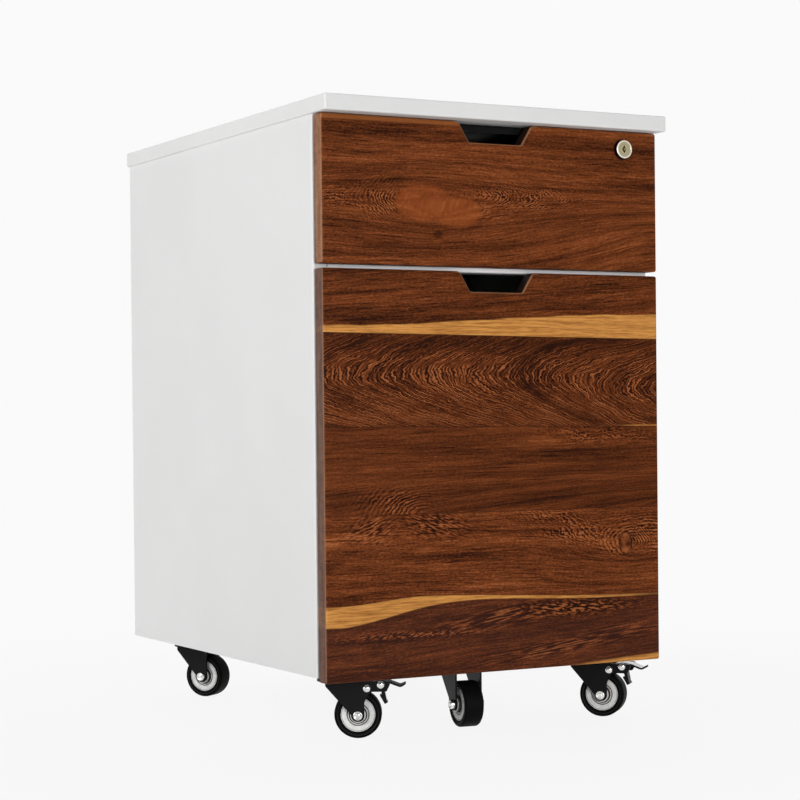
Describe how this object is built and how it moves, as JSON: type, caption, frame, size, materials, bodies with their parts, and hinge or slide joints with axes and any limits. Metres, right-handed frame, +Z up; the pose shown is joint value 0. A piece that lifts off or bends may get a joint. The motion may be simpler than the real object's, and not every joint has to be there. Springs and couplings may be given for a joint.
{
  "type": "filing cabinet",
  "caption": "White mobile filing cabinet with wood-fronted drawers, finger cut-outs, a cam lock, swivel casters with brakes and an anti-tip caster under the lower drawer.",
  "frame": {"origin": "on the floor, under the centre of the top slab", "axes": "+Z up, -Y towards the drawer fronts, +X to the viewer's right when facing the fronts"},
  "size_m": [0.4, 0.525, 0.636],
  "materials": {
    "slab_laminate": "smooth white laminate on board",
    "white_steel": "white powder coat",
    "walnut": "satin oil, reddish-brown hardwood",
    "black_steel": "black powder coat",
    "zinc": "zinc plated",
    "fork_black": "black coated steel",
    "lock_metal": "satin nickel plated",
    "rim_plastic": "light grey nylon",
    "tyre_rubber": "black, slightly worn"
  },
  "bodies": {
    "carcass": {"top_slab": "slab_laminate", "left_side_panel": "white_steel", "right_side_panel": "white_steel", "back_panel": "white_steel", "bottom_panel": "white_steel", "top_front_rail": "black_steel", "divider_rail": "white_steel", "slide_uprights": "white_steel", "slab_screws": "zinc", "slide_outers": "zinc", "caster_plates": "fork_black", "caster_kingpins": "zinc", "caster_bolts": "zinc"},
    "upper_drawer": {"upper_front": "walnut", "upper_drawer_tray": "black_steel", "upper_drawer_back": "black_steel", "upper_inner_front": "black_steel", "upper_front_screws": "zinc", "upper_slide_inners": "zinc", "lock_barrel": "lock_metal", "lock_nut": "lock_metal"},
    "lower_drawer": {"lower_front": "walnut", "lower_drawer_tray": "black_steel", "lower_drawer_back": "black_steel", "lower_inner_front": "black_steel", "lower_front_screws": "zinc", "lower_slide_inners": "zinc", "file_rails": "zinc", "fifth_caster_bracket": "black_steel", "fifth_caster_plate": "fork_black", "fifth_caster_kingpin": "zinc", "fifth_caster_bolts": "zinc"},
    "upper_slide_middle": {"upper_slide_middles": "zinc"},
    "lower_slide_middle": {"lower_slide_middles": "zinc"},
    "lock_core": {"lock_plug": "lock_metal", "lock_cam": "lock_metal"},
    "front_left_swivel": {"front_left_fork": "fork_black", "front_left_axle": "zinc", "front_left_brake_rivets": "zinc"},
    "front_left_wheel": {"front_left_rim": "rim_plastic", "front_left_tyre": "tyre_rubber"},
    "front_left_brake": {"front_left_brake_lever": "fork_black"},
    "front_right_swivel": {"front_right_fork": "fork_black", "front_right_axle": "zinc", "front_right_brake_rivets": "zinc"},
    "front_right_wheel": {"front_right_rim": "rim_plastic", "front_right_tyre": "tyre_rubber"},
    "front_right_brake": {"front_right_brake_lever": "fork_black"},
    "rear_left_swivel": {"rear_left_fork": "fork_black", "rear_left_axle": "zinc"},
    "rear_left_wheel": {"rear_left_rim": "rim_plastic", "rear_left_tyre": "tyre_rubber"},
    "rear_right_swivel": {"rear_right_fork": "fork_black", "rear_right_axle": "zinc"},
    "rear_right_wheel": {"rear_right_rim": "rim_plastic", "rear_right_tyre": "tyre_rubber"},
    "fifth_swivel": {"fifth_fork": "fork_black", "fifth_axle": "zinc"},
    "fifth_wheel": {"fifth_rim": "rim_plastic", "fifth_tyre": "tyre_rubber"}
  },
  "joints": [
    {"name": "upper_drawer_slide", "type": "slide", "parent": "carcass", "child": "upper_drawer", "axis": [0, -1, 0], "range_m": [0, 0.43]},
    {"name": "upper_middle_slide", "type": "slide", "parent": "carcass", "child": "upper_slide_middle", "axis": [0, -1, 0], "range_m": [0, 0.215]},
    {"name": "lower_drawer_slide", "type": "slide", "parent": "carcass", "child": "lower_drawer", "axis": [0, -1, 0], "range_m": [0, 0.43]},
    {"name": "lower_middle_slide", "type": "slide", "parent": "carcass", "child": "lower_slide_middle", "axis": [0, -1, 0], "range_m": [0, 0.215]},
    {"name": "lock_turn", "type": "hinge", "parent": "upper_drawer", "child": "lock_core", "pos_m": [0.1545, -0.2255, 0.6005], "axis": [0, 1, 0], "range_deg": [0, 90]},
    {"name": "front_left_swivel_turn", "type": "hinge", "parent": "carcass", "child": "front_left_swivel", "pos_m": [-0.149, -0.177, 0.06], "axis": [0, 0, 1], "continuous": true},
    {"name": "front_left_wheel_roll", "type": "hinge", "parent": "front_left_swivel", "child": "front_left_wheel", "pos_m": [-0.13151, -0.1867, 0.024], "axis": [0.4848, 0.8746, 0], "continuous": true},
    {"name": "front_left_brake_press", "type": "hinge", "parent": "front_left_swivel", "child": "front_left_brake", "pos_m": [-0.11139, -0.19785, 0.0546], "axis": [0.4848, 0.8746, 0], "range_deg": [0, 12]},
    {"name": "front_right_swivel_turn", "type": "hinge", "parent": "carcass", "child": "front_right_swivel", "pos_m": [0.149, -0.177, 0.06], "axis": [0, 0, 1], "continuous": true},
    {"name": "front_right_wheel_roll", "type": "hinge", "parent": "front_right_swivel", "child": "front_right_wheel", "pos_m": [0.16289, -0.19139, 0.024], "axis": [0.7193, 0.6947, 0], "continuous": true},
    {"name": "front_right_brake_press", "type": "hinge", "parent": "front_right_swivel", "child": "front_right_brake", "pos_m": [0.17887, -0.20793, 0.0546], "axis": [0.7193, 0.6947, 0], "range_deg": [0, 12]},
    {"name": "rear_left_swivel_turn", "type": "hinge", "parent": "carcass", "child": "rear_left_swivel", "pos_m": [-0.1465, 0.205, 0.06], "axis": [0, 0, 1], "continuous": true},
    {"name": "rear_left_wheel_roll", "type": "hinge", "parent": "rear_left_swivel", "child": "rear_left_wheel", "pos_m": [-0.13474, 0.18882, 0.024], "axis": [0.809, 0.5878, 0], "continuous": true},
    {"name": "rear_right_swivel_turn", "type": "hinge", "parent": "carcass", "child": "rear_right_swivel", "pos_m": [0.1465, 0.205, 0.06], "axis": [0, 0, 1], "continuous": true},
    {"name": "rear_right_wheel_roll", "type": "hinge", "parent": "rear_right_swivel", "child": "rear_right_wheel", "pos_m": [0.15589, 0.22266, 0.024], "axis": [-0.8829, 0.4695, 0], "continuous": true},
    {"name": "fifth_swivel_turn", "type": "hinge", "parent": "lower_drawer", "child": "fifth_swivel", "pos_m": [0, -0.162, 0.06], "axis": [0, 0, 1], "continuous": true},
    {"name": "fifth_wheel_roll", "type": "hinge", "parent": "fifth_swivel", "child": "fifth_wheel", "pos_m": [-0.00244, -0.18185, 0.024], "axis": [0.9925, -0.1219, 0], "continuous": true}
  ],
  "couplings": [
    {"joint": "upper_middle_slide", "follows": "upper_drawer_slide", "ratio": 0.5},
    {"joint": "lower_middle_slide", "follows": "lower_drawer_slide", "ratio": 0.5}
  ]
}
